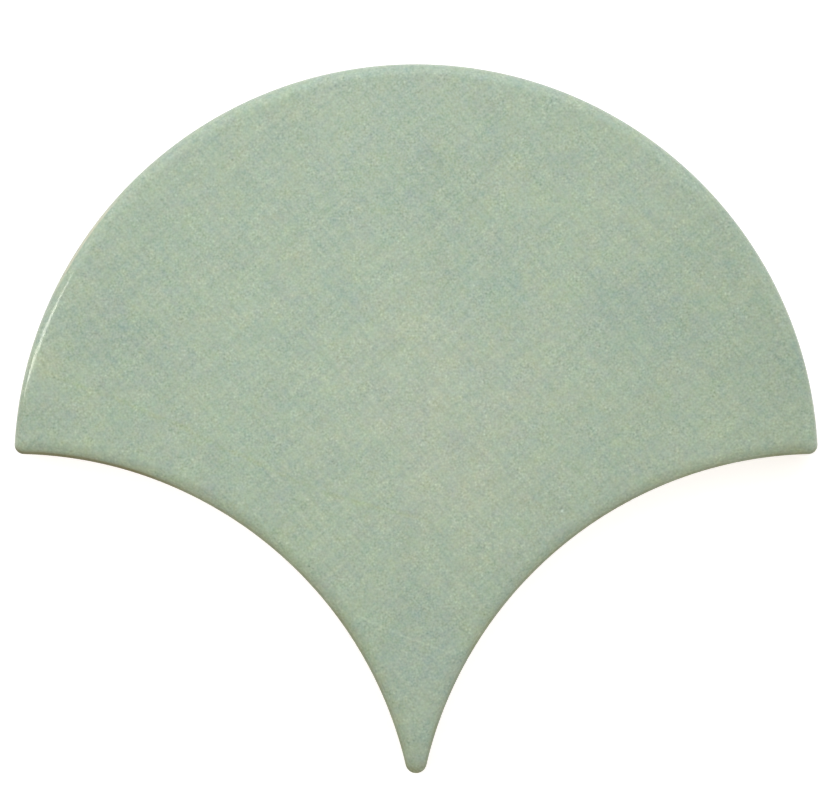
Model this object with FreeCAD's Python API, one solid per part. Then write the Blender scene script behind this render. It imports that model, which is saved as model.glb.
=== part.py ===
import FreeCAD, Part
import math
import os

from FreeCAD import Vector

# A fish scale tile: one pressed and fired clay tile with a glazed face, lying on its back.
# From above it is a fan. The crown is the round upper edge, the two hollow flanks take the
# crowns of the tiles laid beside and below it, and the flanks run together in a blunt tip.
# Millimetres. X runs across the tile, +Y from the tip to the crown, +Z out of the glazed face.
# The origin is on the back, midway across and midway from the tip to the top of the crown.

# Driving dimensions
crown_radius = 60.1  # the round upper edge
tile_height = 106.0  # top of the crown to the end of the tip
tile_thickness = 9.0  # back to glazed face
flank_radius = 60.1  # the hollow edges, which match a neighbour's crown
shoulder_rise = 1.8  # top of the flank circles above the centre of the crown
corner_radius = 1.4  # rounding in plan where the crown meets a flank
tip_radius = 1.6  # rounding in plan of the tip
face_edge_radius = 2.0  # soft edge all round the glazed face
back_edge_bevel = 0.4  # small bevel all round the back


def toward(centre, target, distance):
    """Return the point at a distance from a centre, on the way to a target."""
    return centre + (target - centre).normalize() * distance


def mirrored(point):
    """Return the point's twin on the other side of the tile's centre line."""
    return Vector(-point.x, point.y, point.z)


def upper_meeting_point(first_centre, first_radius, second_centre, second_radius):
    """Return where two circles cross, on the left of the line from the first centre to the second."""
    line = second_centre - first_centre
    spacing = line.Length
    along = (spacing**2 + first_radius**2 - second_radius**2) / (2 * spacing)
    across = math.sqrt(first_radius**2 - along**2)
    left = Vector(-line.y, line.x, 0)
    return first_centre + line * (along / spacing) + left * (across / spacing)


def arc(start, middle, end):
    """Return the edge of a circular arc through three points."""
    return Part.Arc(start, middle, end).toShape()


def edges_at_level(shape, level):
    """Return the edges that lie wholly in the horizontal plane at a level."""
    tolerance = 1e-4
    return [
        edge
        for edge in shape.Edges
        if abs(edge.BoundBox.ZMin - level) < tolerance and abs(edge.BoundBox.ZMax - level) < tolerance
    ]


# Centres of the arcs in plan. Each flank circle touches the tip circle, and each corner circle
# lies inside the crown circle and outside the flank circle, touching both.
crown_centre = Vector(0, tile_height / 2 - crown_radius, 0)
tip_centre = Vector(0, tip_radius - tile_height / 2, 0)
flank_y = crown_centre.y + shoulder_rise - flank_radius
flank_x = math.sqrt((flank_radius + tip_radius) ** 2 - (tip_centre.y - flank_y) ** 2)
flank_centre = Vector(flank_x, flank_y, 0)
corner_centre = upper_meeting_point(
    crown_centre, crown_radius - corner_radius, flank_centre, flank_radius + corner_radius
)

# Points where the arcs of the right half run into each other, and a point midway along each arc
crown_top = Vector(0, tile_height / 2, 0)
crown_end = toward(crown_centre, corner_centre, crown_radius)
flank_start = toward(flank_centre, corner_centre, flank_radius)
flank_end = toward(flank_centre, tip_centre, flank_radius)
tip_end = Vector(0, -tile_height / 2, 0)
corner_middle = toward(corner_centre, (crown_end + flank_start) / 2, corner_radius)
flank_middle = toward(flank_centre, (flank_start + flank_end) / 2, flank_radius)

# The plan outline, anticlockwise from the right end of the crown
outline = Part.Wire(
    [
        arc(crown_end, crown_top, mirrored(crown_end)),
        arc(mirrored(crown_end), mirrored(corner_middle), mirrored(flank_start)),
        arc(mirrored(flank_start), mirrored(flank_middle), mirrored(flank_end)),
        arc(mirrored(flank_end), tip_end, flank_end),
        arc(flank_end, flank_middle, flank_start),
        arc(flank_start, corner_middle, crown_end),
    ]
)

# The pressed blank, then its soft face edge and the small bevel round its back
blank = Part.Face(outline).extrude(Vector(0, 0, tile_thickness))
softened = blank.makeFillet(face_edge_radius, edges_at_level(blank, tile_thickness))
tile = softened.makeChamfer(back_edge_bevel, edges_at_level(softened, 0)).Solids[0]

os.makedirs("parts", exist_ok=True)
tile.exportStep("parts/tile.step")
print("tile", tile.optimalBoundingBox(False, False), "volume", round(tile.Volume, 1), "valid", tile.isValid())
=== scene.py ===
import math
import bmesh
import bpy
from mathutils import Matrix, Vector


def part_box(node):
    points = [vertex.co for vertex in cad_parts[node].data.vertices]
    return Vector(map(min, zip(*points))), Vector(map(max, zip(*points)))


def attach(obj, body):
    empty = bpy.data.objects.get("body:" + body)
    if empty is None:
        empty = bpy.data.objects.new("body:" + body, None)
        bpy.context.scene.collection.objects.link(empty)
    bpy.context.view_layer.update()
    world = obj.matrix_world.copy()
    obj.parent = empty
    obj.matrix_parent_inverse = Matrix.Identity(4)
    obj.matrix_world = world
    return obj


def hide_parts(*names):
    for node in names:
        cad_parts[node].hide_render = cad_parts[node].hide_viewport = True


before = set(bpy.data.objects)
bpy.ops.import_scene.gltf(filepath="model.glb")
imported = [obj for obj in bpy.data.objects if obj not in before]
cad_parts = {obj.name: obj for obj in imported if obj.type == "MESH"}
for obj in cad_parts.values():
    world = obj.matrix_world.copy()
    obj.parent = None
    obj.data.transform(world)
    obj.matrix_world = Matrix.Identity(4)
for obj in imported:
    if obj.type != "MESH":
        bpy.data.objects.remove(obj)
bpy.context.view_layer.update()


# The tile
# One fan of pressed clay, fired with a glossy sage glaze. The glaze wraps softly over the edge of the
# face and ends part way down the sides in a thin uneven bead. Below that, and on the back, the clay is bare.
mm = 0.001
tile_low, tile_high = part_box("tile")
crown_radius = 60.1 * mm
flank_radius = 60.1 * mm
shoulder_rise = 1.8 * mm
corner_radius = 1.4 * mm
tip_radius = 1.6 * mm
back_edge_bevel = 0.4 * mm
edge_roll_radius = 1.9 * mm
flank_roll = 1.15
face_fall = 0.15 * mm
face_fall_width = 5.0 * mm
sharpest_corner = 0.6 * mm
sharpest_tip = 0.35 * mm
clay_setback = 0.16 * mm
glaze_foot = 4.4 * mm
bead_height = 0.4 * mm
crown_steps = 90
corner_steps = 10
flank_steps = 64
tip_steps = 16
crown_centre = Vector((0, tile_high.y - crown_radius, 0))
flank_y = crown_centre.y + shoulder_rise - flank_radius
tip_reach = tile_low.y + tip_radius - flank_y
flank_x = math.sqrt((flank_radius + tip_radius) ** 2 - tip_reach**2)
flank_centre = Vector((flank_x, flank_y, 0))


def rounding(full, sharpest, inset):
    """Return a plan rounding that tightens as the contour moves in, down to a sharpest value."""
    return sharpest + (full - sharpest) * math.exp(-inset / (full - sharpest))


def meeting_point(first, first_radius, second, second_radius):
    """Return where two circles cross, on the left of the line from the first centre to the second."""
    line = second - first
    along = (line.length_squared + first_radius**2 - second_radius**2) / (2 * line.length)
    across = math.sqrt(first_radius**2 - along**2)
    return first + line.normalized() * along + Vector((-line.y, line.x, 0)).normalized() * across


def heading(start, end):
    """Return the angle of the line from one point to another."""
    return math.atan2(end.y - start.y, end.x - start.x)


def draw_contour(inset, level):
    """Draw the fan's outline, moved in by an inset, as one point swung about each arc's centre in turn."""
    corner_rounding = rounding(corner_radius, sharpest_corner, inset)
    tip_rounding = rounding(tip_radius, sharpest_tip, inset)
    crown_reach = crown_radius - inset
    flank_reach = flank_radius + inset * flank_roll
    corner = meeting_point(
        crown_centre, crown_reach - corner_rounding, flank_centre, flank_reach + corner_rounding
    )
    tip = Vector((0, flank_y + math.sqrt((flank_reach + tip_rounding) ** 2 - flank_x**2), 0))
    crown_end = heading(crown_centre, corner)
    corner_end = heading(corner, flank_centre)
    flank_end = heading(flank_centre, tip)
    half_crown = (crown_centre, math.pi / 2 - crown_end, crown_steps)
    corner_turn = crown_end - corner_end
    flank_turn = math.pi + corner_end - flank_end
    mirrored = Vector((-1, 1, 1))
    swings = [
        half_crown,
        (corner * mirrored, corner_turn, corner_steps),
        (flank_centre * mirrored, flank_turn, flank_steps),
        (tip, 2 * flank_end - math.pi, tip_steps),
        (flank_centre, flank_turn, flank_steps),
        (corner, corner_turn, corner_steps),
        half_crown,
    ]
    bpy.ops.mesh.select_all(action="DESELECT")
    top = (0, crown_centre.y + crown_reach, level)
    bpy.ops.mesh.primitive_plane_add(size=mm, location=top)
    bpy.ops.mesh.merge(type="CENTER")
    for centre, turn, steps in swings:
        bpy.ops.mesh.spin(steps=steps, angle=turn, center=(centre.x, centre.y, level), axis=(0, 0, -1))


def select_levels(mesh, lowest, highest):
    """Select the edges that lie between two levels."""
    bpy.ops.mesh.select_all(action="DESELECT")
    shape = bmesh.from_edit_mesh(mesh)
    for edge in shape.edges:
        edge.select = all(lowest - hair < point.co.z < highest + hair for point in edge.verts)
    shape.select_flush(True)
    bmesh.update_edit_mesh(mesh)


# The section through the edge, from the back up: clay side, glaze bead, rolled edge, falling face.
# Each point is an inset from the outline and a level above the floor.
hair = 0.001 * mm
top_level = tile_high.z
roll_start = top_level - edge_roll_radius
section = [
    (clay_setback + back_edge_bevel, tile_low.z),
    (clay_setback, tile_low.z + back_edge_bevel),
    (clay_setback, glaze_foot),
    (0.08 * mm, glaze_foot + 0.04 * mm),
    (0.02 * mm, glaze_foot + 0.16 * mm),
    (0.0, glaze_foot + bead_height),
    (0.03 * mm, glaze_foot + 1.2 * mm),
]


def face_drop(inset):
    """Return how far the face has fallen at a distance in from its outline."""
    return face_fall * max(0.0, 1 - inset / face_fall_width) ** 2


roll_steps = 12
for step in range(roll_steps + 1):
    angle = math.pi / 2 * step / roll_steps
    inset = edge_roll_radius * (1 - math.cos(angle))
    section.append((inset, roll_start + edge_roll_radius * math.sin(angle) - face_drop(inset)))
for inset in (2.4 * mm, 3.0 * mm, 3.8 * mm, face_fall_width):
    section.append((inset, top_level - face_drop(inset)))

bpy.ops.object.select_all(action="DESELECT")
bpy.ops.mesh.primitive_plane_add(size=mm)
tile = bpy.context.object
tile.name = "glazed_tile"
bpy.ops.object.mode_set(mode="EDIT")
bpy.ops.mesh.delete(type="VERT")
for inset, level in section:
    draw_contour(inset, level)
bpy.ops.mesh.select_all(action="SELECT")
bpy.ops.mesh.remove_doubles(threshold=hair)
for (_, lower), (_, upper) in zip(section, section[1:]):
    select_levels(tile.data, lower, upper)
    bpy.ops.mesh.bridge_edge_loops()
for level in (tile_low.z, top_level):
    select_levels(tile.data, level, level)
    bpy.ops.mesh.edge_face_add()

# The face is cut into small squares, so that it can carry the glaze's slight unevenness. The pieces with
# many sides that are left at its edge are divided into triangles.
square = 2.0 * mm
for axis in (Vector((1, 0, 0)), Vector((0, 1, 0))):
    count = int(max(tile_high.x, tile_high.y) / square)
    for line in range(-count, count + 1):
        select_levels(tile.data, top_level, top_level)
        bpy.ops.mesh.bisect(plane_co=axis * line * square, plane_no=axis)
bpy.ops.mesh.select_all(action="DESELECT")
bpy.ops.mesh.select_face_by_sides(number=4, type="GREATER")
bpy.ops.mesh.quads_convert_to_tris(quad_method="BEAUTY", ngon_method="BEAUTY")
bpy.ops.mesh.select_all(action="SELECT")
bpy.ops.mesh.normals_make_consistent(inside=False)
bpy.ops.object.mode_set(mode="OBJECT")

# The glaze's foot wanders up and down the side, and the face is very slightly uneven
foot = tile.vertex_groups.new(name="glaze_foot")
face = tile.vertex_groups.new(name="face")
for point in tile.data.vertices:
    if glaze_foot - hair < point.co.z < glaze_foot + bead_height + hair:
        foot.add([point.index], 1.0, "REPLACE")
    elif point.co.z > top_level - hair:
        face.add([point.index], 1.0, "REPLACE")


def uneven(piece, group, size, height):
    """Move a group of points up and down by a soft cloud pattern."""
    swell = bpy.data.textures.new(group, "CLOUDS")
    swell.noise_scale = size
    swell.noise_depth = 1
    wave = piece.modifiers.new(group, "DISPLACE")
    wave.texture = swell
    wave.texture_coords = "LOCAL"
    wave.vertex_group = group
    wave.direction = "Z"
    wave.strength = height
    wave.mid_level = 0.5
    bpy.ops.object.modifier_apply(modifier=wave.name)


bpy.context.view_layer.objects.active = tile
uneven(tile, "glaze_foot", size=9 * mm, height=1.6 * mm)
uneven(tile, "face", size=16 * mm, height=0.05 * mm)
bpy.ops.object.shade_smooth_by_angle(angle=math.radians(40))


# The glaze is mottled with fine specks that gather in soft clouds, under a faint crossed weave of streaks
def new_material(name):
    """Return an empty node material."""
    material = bpy.data.materials.new(name)
    material.use_nodes = True
    material.node_tree.nodes.clear()
    return material


def add_node(material, kind, inputs=None, **settings):
    """Add a shader node, set its options, and fill or link its inputs."""
    node = material.node_tree.nodes.new(kind)
    for name, value in settings.items():
        setattr(node, name, value)
    for name, value in (inputs or {}).items():
        if isinstance(value, bpy.types.NodeSocket):
            material.node_tree.links.new(value, node.inputs[name])
        else:
            node.inputs[name].default_value = value
    return node


def calculate(material, operation, *values):
    """Return the outcome of one sum on sockets or numbers."""
    return add_node(material, "ShaderNodeMath", dict(enumerate(values)), operation=operation).outputs[0]


def product(material, first, *others):
    """Return a socket multiplied by other sockets or numbers."""
    for other in others:
        first = calculate(material, "MULTIPLY", first, other)
    return first


def turned(material, place, angle, scale):
    """Return the place turned about the upright axis and then stretched."""
    straight = add_node(material, "ShaderNodeMapping", {"Vector": place, "Rotation": (0, 0, angle)})
    return add_node(
        material, "ShaderNodeMapping", {"Vector": straight.outputs[0], "Scale": scale}
    ).outputs[0]


def cloud(material, place, scale, detail, rough=0.5):
    """Return a cloud pattern that swings about zero."""
    noise = add_node(
        material,
        "ShaderNodeTexNoise",
        {"Vector": place, "Scale": scale, "Detail": detail, "Roughness": rough},
    )
    return calculate(material, "SUBTRACT", noise.outputs[0], 0.5)


def streaks(material, place, degrees, lengthways, crossways):
    """Return a cloud pattern drawn out into streaks, turned by an angle."""
    drawn = turned(material, place, math.radians(degrees), (lengthways, crossways, crossways))
    return cloud(material, drawn, 1.0, 0)


def tinted(material, step, *layers):
    """Return the sum of patterns, each coloured with a light to dark difference in screen steps."""
    total = None
    for pattern, (red, green, blue) in layers:
        colour = (red * step[0], green * step[1], blue * step[2])
        layer = add_node(
            material, "ShaderNodeVectorMath", {0: colour, "Scale": pattern}, operation="SCALE"
        ).outputs[0]
        if total is not None:
            layer = add_node(material, "ShaderNodeVectorMath", {0: total, 1: layer}).outputs[0]
        total = layer
    return total


def srgb(red, green, blue):
    """Return a shader colour for a screen colour of 0 to 255."""
    def linear(value):
        share = value / 255
        return share / 12.92 if share <= 0.04045 else ((share + 0.055) / 1.055) ** 2.4
    return (linear(red), linear(green), linear(blue), 1.0)


def between(material, value, start, end):
    """Return a smooth rise from 0 at one value to 1 at another."""
    return add_node(
        material,
        "ShaderNodeMapRange",
        {"Value": value, "From Min": start, "From Max": end},
        interpolation_type="SMOOTHSTEP",
    ).outputs[0]


def patch(material, place, centre, reach):
    """Return a soft round patch, 1 at its centre and 0 beyond its reach."""
    away = add_node(
        material, "ShaderNodeVectorMath", {0: place, 1: (*centre, 0)}, operation="DISTANCE"
    ).outputs["Value"]
    return between(material, away, reach, 0)


def drifting(material, place, scale, reach):
    """Return the place pushed about by a cloud pattern, by up to half a reach each way."""
    push = add_node(material, "ShaderNodeTexNoise", {"Vector": place, "Scale": scale, "Detail": 2})
    about_zero = add_node(
        material,
        "ShaderNodeVectorMath",
        {0: push.outputs["Color"], 1: (0.5, 0.5, 0.5)},
        operation="SUBTRACT",
    ).outputs[0]
    return add_node(
        material,
        "ShaderNodeVectorMath",
        {0: about_zero, 1: (reach, reach, 0), 2: place},
        operation="MULTIPLY_ADD",
    ).outputs[0]


def hairline(material, place, points, width):
    """Return a thin line through the points, 1 on the line and 0 beside it."""
    whole = None
    for start, end in zip(points, points[1:]):
        run = Vector(end) - Vector(start)
        local = add_node(material, "ShaderNodeVectorMath", {0: place, 1: (*start, 0)}, operation="SUBTRACT")
        straight = turned(material, local.outputs[0], -math.atan2(run.y, run.x), (1, 1, 1))
        along, off, _ = add_node(material, "ShaderNodeSeparateXYZ", {0: straight}).outputs
        line = product(
            material,
            between(material, calculate(material, "ABSOLUTE", off), width, 0),
            between(material, along, -width, width),
            between(material, along, run.length + width, run.length - width),
        )
        whole = line if whole is None else calculate(material, "MAXIMUM", whole, line)
    return whole


glaze = new_material("sage_glaze")
place = add_node(glaze, "ShaderNodeTexCoord").outputs["Object"]
place_mm = add_node(
    glaze, "ShaderNodeVectorMath", {0: place, "Scale": 1 / mm}, operation="SCALE"
).outputs[0]
across, along, height = add_node(glaze, "ShaderNodeSeparateXYZ", {0: place_mm}).outputs
face_mm = add_node(glaze, "ShaderNodeCombineXYZ", {0: across, 1: along}).outputs[0]
pattern_shift = (171.0, 83.0, 59.0)
shifted_mm = add_node(glaze, "ShaderNodeVectorMath", {0: place_mm, 1: pattern_shift}).outputs[0]
sage = srgb(166.5, 183.2, 162)
sage_step = (0.00516, 0.00581, 0.00500)
rising = -39.5
falling = -130
speck_gathering = 1.4
speck_peak = 5.0
speck_paleness = 0.5
speck_depth = calculate(glaze, "MULTIPLY_ADD", cloud(glaze, place_mm, 0.35, 1), speck_gathering, 1.0)
fine_specks = calculate(glaze, "MULTIPLY", cloud(glaze, place_mm, 3.2, 0), speck_depth)
speck_square = calculate(glaze, "MULTIPLY", fine_specks, fine_specks)
speck_lift = calculate(glaze, "MULTIPLY_ADD", speck_square, speck_peak, 1.0)
sharp_specks = calculate(glaze, "MULTIPLY", fine_specks, speck_lift)
sharp_specks = calculate(glaze, "MULTIPLY_ADD", speck_square, speck_paleness, sharp_specks)
drifting_mm = drifting(glaze, face_mm, 0.08, 14)
wavering_mm = drifting(glaze, face_mm, 0.15, 1.2)
old_hair = [(-55.4, 6.9), (-41.2, 1.5), (-12.8, -11.5), (2.2, -15.2)]
tip_scratch = [(-9.0, -29.3), (6.7, -35.9)]
glaze_mottle = tinted(
    glaze,
    sage_step,
    # Specks and clouds, from fine to broad
    (sharp_specks, (25.0, 25.0, 23.6)),
    (cloud(glaze, place_mm, 2.2, 0), (12.5, 12.5, 12.5)),
    (cloud(glaze, place_mm, 1.0, 0), (11.3, 9, 5.2)),
    (cloud(glaze, place_mm, 0.7, 0), (9, 6, 0.6)),
    (cloud(glaze, place_mm, 0.3, 0), (4.8, 3.7, -0.6)),
    (cloud(glaze, place_mm, 0.18, 0), (4, 3.2, -0.5)),
    (cloud(glaze, place_mm, 0.11, 1), (5.5, 4, 0)),
    # Drifts of colour
    (cloud(glaze, shifted_mm, 0.75, 2), (-4, -2, 14.5)),
    (cloud(glaze, shifted_mm, 0.22, 1), (-2.6, -0.9, 7)),
    (cloud(glaze, shifted_mm, 1.7, 1), (8.5, -4.4, 0.8)),
    (cloud(glaze, shifted_mm, 3.0, 0), (-1, -0.5, 5)),
    (cloud(glaze, shifted_mm, 0.3, 1), (5, -4, 1.5)),
    # The weave of fine and broad streaks
    (streaks(glaze, place_mm, rising, 0.13, 2.1), (10.5, 10, 7.4)),
    (streaks(glaze, shifted_mm, falling, 0.14, 2.5), (12, 11.4, 8.7)),
    (streaks(glaze, shifted_mm, rising, 0.07, 0.85), (5.4, 4.3, 2.5)),
    (streaks(glaze, place_mm, falling, 0.08, 1.15), (6.2, 5, 3)),
    # Soft patches with wandering edges, then the plain ones by the edge, of which three are painted light
    # and shade
    (patch(glaze, drifting_mm, (6, 3), 26), (6.5, 2.5, 2.5)),
    (patch(glaze, drifting_mm, (33, 36), 12), (4, 3, 4)),
    (patch(glaze, drifting_mm, (43, -4), 15), (3.5, 3, 2.5)),
    (patch(glaze, drifting_mm, (8, -15), 13), (3.5, 1.5, 1)),
    (patch(glaze, drifting_mm, (0, -38), 10), (0, 0.5, 5)),
    (patch(glaze, drifting_mm, (0, 37), 16), (-5, -4, -3)),
    (patch(glaze, drifting_mm, (-43, 15), 14), (-5.5, -5, -2)),
    (patch(glaze, drifting_mm, (10, 17), 14), (-4.5, -2.5, -1.5)),
    (patch(glaze, drifting_mm, (34, 15), 14), (-4.5, -3.5, 0)),
    (patch(glaze, drifting_mm, (2, -28), 11), (-4.5, -3.5, 0)),
    (patch(glaze, face_mm, (-55.4, 8), 4), (11, 6.5, 0.5)),
    # Painted shade: darkens the crown's right edge by the corner
    (patch(glaze, face_mm, (57, 9), 7), (-7, -5.5, -2.5)),
    # Painted light: lightens the face and rim by the right flank
    (patch(glaze, face_mm, (47, -15), 14), (14, 13, 12)),
    # Painted shade: darkens the left end of the crown's rim
    (patch(glaze, face_mm, (-64, 1), 7.5), (-32, -32, -32)),
    # The old hairline, the scratch near the tip, and a pale dot with a darker dot just above it by the right
    # flank
    (hairline(glaze, wavering_mm, old_hair, 0.6), (-0.5, -1, -6)),
    (hairline(glaze, wavering_mm, tip_scratch, 0.3), (9, 8, 7)),
    (patch(glaze, face_mm, (21.75, -13.75), 0.36), (44, 44, 44)),
    (patch(glaze, face_mm, (21.6, -13.45), 0.4), (-16, -16, -16)),
)
glaze_tone = add_node(glaze, "ShaderNodeVectorMath", {0: sage[:3], 1: glaze_mottle})

# Where the edge rolls over along the flanks the glaze is thin and matt and the clay shows brown through it,
# most of all at the left corner.
# This brown is also painted shade, dark on the flank edges that face away from the light. At the left of the
# crown a thin pale line is a painted highlight.
brown_mean = 0.27
brown_swing = 0.6
left_corner_extra = 0.47
painted_highlight_share = 0.5
flank_edge = product(
    glaze,
    between(glaze, height, 8.5, 7.85),
    between(glaze, height, 6.0, 7.0),
    between(glaze, along, -3.2, -5.2),
)
brown_patches = cloud(glaze, place_mm, 0.25, 2)
brown_and_shade_share = calculate(glaze, "MULTIPLY_ADD", brown_patches, brown_swing, brown_mean)
left_corner = between(glaze, across, -32, -42)
brown_and_shade_share = calculate(glaze, "MULTIPLY_ADD", left_corner, left_corner_extra, brown_and_shade_share)
# A dark clay brown, made darker still as painted shade on the flank edges
clay_brown_and_shade_tone = srgb(105, 92, 28)
glaze_colour = add_node(
    glaze,
    "ShaderNodeMix",
    {
        "Factor": product(glaze, flank_edge, brown_and_shade_share),
        6: glaze_tone.outputs[0],
        7: clay_brown_and_shade_tone,
    },
    data_type="RGBA",
)
# A painted highlight along the rolled edge at the left of the crown, in a pale clay colour
painted_highlight_line = product(
    glaze,
    between(glaze, height, 8.35, 8.1),
    between(glaze, height, 7.5, 7.9),
    between(glaze, along, 17, 24),
    between(glaze, along, 34, 30),
    between(glaze, across, -38, -42),
)
painted_highlight_tone = srgb(226, 214, 190)
glaze_colour = add_node(
    glaze,
    "ShaderNodeMix",
    {
        "Factor": product(glaze, painted_highlight_line, painted_highlight_share),
        6: glaze_colour.outputs[2],
        7: painted_highlight_tone,
    },
    data_type="RGBA",
)
ripple_depth = 0.05 * mm
gloss_mean = 0.12
gloss_swing = 0.08
thin_edge_matt = 0.55
ripple = add_node(
    glaze,
    "ShaderNodeBump",
    {"Strength": 1.0, "Distance": ripple_depth, "Height": cloud(glaze, place_mm, 0.2, 2)},
)
gloss = calculate(glaze, "MULTIPLY_ADD", cloud(glaze, place_mm, 0.6, 2), gloss_swing, gloss_mean)
glaze_surface = add_node(
    glaze,
    "ShaderNodeBsdfPrincipled",
    {
        "Base Color": glaze_colour.outputs[2],
        "Roughness": calculate(glaze, "MULTIPLY_ADD", flank_edge, thin_edge_matt, gloss),
        "IOR": 1.5,
        "Normal": ripple.outputs[0],
    },
)
add_node(glaze, "ShaderNodeOutputMaterial", {"Surface": glaze_surface.outputs[0]})

# The bare clay of the back and lower sides, fine and matt, with small darker grains
grain_depth = 0.08 * mm
clay_roughness = 0.86
grain_roughness = 0.15
clay = new_material("buff_clay")
clay_place = add_node(clay, "ShaderNodeTexCoord").outputs["Object"]
clay_mm = add_node(
    clay, "ShaderNodeVectorMath", {0: clay_place, "Scale": 1 / mm}, operation="SCALE"
).outputs[0]
grain = cloud(clay, clay_mm, 1.6, 3, 0.7)
clay_tone = add_node(clay, "ShaderNodeValToRGB", {0: calculate(clay, "ADD", grain, 0.5)})
clay_tone.color_ramp.elements[0].position = 0.22
clay_tone.color_ramp.elements[0].color = srgb(190, 172, 144)
clay_tone.color_ramp.elements[1].position = 0.70
clay_tone.color_ramp.elements[1].color = srgb(224, 211, 188)
clay_bump = add_node(
    clay, "ShaderNodeBump", {"Strength": 1.0, "Distance": grain_depth, "Height": grain}
)
clay_surface = add_node(
    clay,
    "ShaderNodeBsdfPrincipled",
    {
        "Base Color": clay_tone.outputs[0],
        "Roughness": calculate(clay, "MULTIPLY_ADD", grain, grain_roughness, clay_roughness),
        "Normal": clay_bump.outputs[0],
    },
)
add_node(clay, "ShaderNodeOutputMaterial", {"Surface": clay_surface.outputs[0]})

tile.data.materials.append(glaze)
tile.data.materials.append(clay)
for side in tile.data.polygons:
    lowest = min(tile.data.vertices[point].co.z for point in side.vertices)
    side.material_index = 1 if lowest < tile_low.z + back_edge_bevel + hair else 0
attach(tile, "root")
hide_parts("tile")


# The floor
# A plain pale studio table, wide enough to fill every view. It looks white to the camera and keeps
# the soft shadow that the tile casts on it.
bpy.ops.object.select_all(action="DESELECT")
floor_gap = 0.02 * mm
bounced_tone = (0.80, 0.73, 0.60, 1)
seen_tone = (0.85, 0.85, 0.85, 1)
seen_glow = 0.5
bpy.ops.mesh.primitive_plane_add(size=6, location=(0, 0, tile_low.z - floor_gap))
floor = bpy.context.object
floor.name = "studio_floor"
paper = new_material("white_paper")
light_path = add_node(paper, "ShaderNodeLightPath")
seen = light_path.outputs["Is Camera Ray"]
for ray in ("Is Glossy Ray", "Is Transmission Ray"):
    seen = calculate(paper, "MAXIMUM", seen, light_path.outputs[ray])
paper_tone = add_node(
    paper,
    "ShaderNodeMix",
    {"Factor": seen, 6: bounced_tone, 7: seen_tone},
    data_type="RGBA",
)
paper_surface = add_node(
    paper,
    "ShaderNodeBsdfPrincipled",
    {
        "Base Color": paper_tone.outputs[2],
        "Roughness": 1.0,
        "Specular IOR Level": 0.0,
        "Emission Color": (1, 1, 1, 1),
        "Emission Strength": product(paper, seen, seen_glow),
    },
)
add_node(paper, "ShaderNodeOutputMaterial", {"Surface": paper_surface.outputs[0]})
floor.data.materials.append(paper)


# The studio light
# A soft pool of light from above, a slim strip low on the left that draws the bright line along the
# left edge, and a room that is brightest beyond the crown, paler on the right and dim and warm on the left.
def aim(lamp, target, along):
    """Turn a lamp towards a target, with its long side along a direction."""
    back = (lamp.location - Vector(target)).normalized()
    side = along.cross(back).normalized()
    lamp.rotation_euler = Matrix((side, back.cross(side), back)).transposed().to_euler()


pool_centre = Vector((-14 * mm, 28 * mm, top_level))
pool_place = (0, 0.12, 0.77)
bpy.ops.object.light_add(type="SPOT", location=pool_place)
pool = bpy.context.object
pool.name = "pool_light"
aim(pool, pool_centre, Vector((1, 0, 0)))
pool.data.energy = 7.0
pool.data.spot_size = math.radians(16)
pool.data.spot_blend = 1.0
pool.data.shadow_soft_size = 0.05
pool.data.use_shadow = False
pool.data.color = (0.95, 0.92, 1.12)
pool.visible_glossy = False

strip_low = Vector((-0.838, 0.168, 0.065))
strip_high = Vector((-0.480, 0.224, 0.661))
strip_width = 0.08
bpy.ops.object.light_add(type="AREA", location=(strip_low + strip_high) / 2)
strip = bpy.context.object
strip.name = "strip_light"
strip.data.shape = "RECTANGLE"
strip.data.size = strip_width
strip.data.size_y = (strip_high - strip_low).length
aim(strip, (0, 0, top_level), strip_high - strip_low)
strip.data.energy = 1.5
strip.data.color = (0.93, 0.925, 0.825)
strip.visible_diffuse = False

left_tone = (0.384, 0.333, 0.202, 1)
right_tone = (0.696, 0.722, 0.712, 1)
window_tone = (0.862, 0.951, 1.086, 1)
room_strength = 1.035
world = bpy.data.worlds.new("studio")
bpy.context.scene.world = world
world.use_nodes = True


def towards(azimuth, elevation):
    """Return the direction at an azimuth, anticlockwise from +X, and an elevation, in degrees."""
    turn, lift = math.radians(azimuth), math.radians(elevation)
    return (math.cos(lift) * math.cos(turn), math.cos(lift) * math.sin(turn), math.sin(lift))


outward = add_node(world, "ShaderNodeTexCoord").outputs["Generated"]
right_side = add_node(
    world, "ShaderNodeVectorMath", {0: outward, 1: towards(15, 0)}, operation="DOT_PRODUCT"
).outputs["Value"]
window_side = add_node(
    world, "ShaderNodeVectorMath", {0: outward, 1: towards(120, 20)}, operation="DOT_PRODUCT"
).outputs["Value"]
room = add_node(
    world,
    "ShaderNodeMix",
    {"Factor": between(world, right_side, -0.7, 1.0), 6: left_tone, 7: right_tone},
    data_type="RGBA",
)
room = add_node(
    world,
    "ShaderNodeMix",
    {"Factor": between(world, window_side, 0.2, 1.0), 6: room.outputs[2], 7: window_tone},
    data_type="RGBA",
    blend_type="ADD",
)
background = world.node_tree.nodes["Background"]
world.node_tree.links.new(room.outputs[2], background.inputs["Color"])
background.inputs["Strength"].default_value = room_strength


# The camera
# It looks straight down on the face through a long lens, with the crown at the top of the picture.
picture_width = 840
pixels_per_metre = 6692.0
sight_right = 0.59 * mm
sight_above = 9.28 * mm
sight = Vector((sight_right, crown_centre.y + sight_above, roll_start))
view_width = picture_width / pixels_per_metre
bpy.ops.object.camera_add()
camera = bpy.context.object
camera.data.lens = 200
camera.data.sensor_width = 36
distance = view_width * camera.data.lens / camera.data.sensor_width
camera.location = sight + Vector((0, 0, distance))
camera.rotation_euler = (0, 0, 0)
bpy.context.scene.camera = camera
bpy.context.scene.view_settings.view_transform = "Standard"
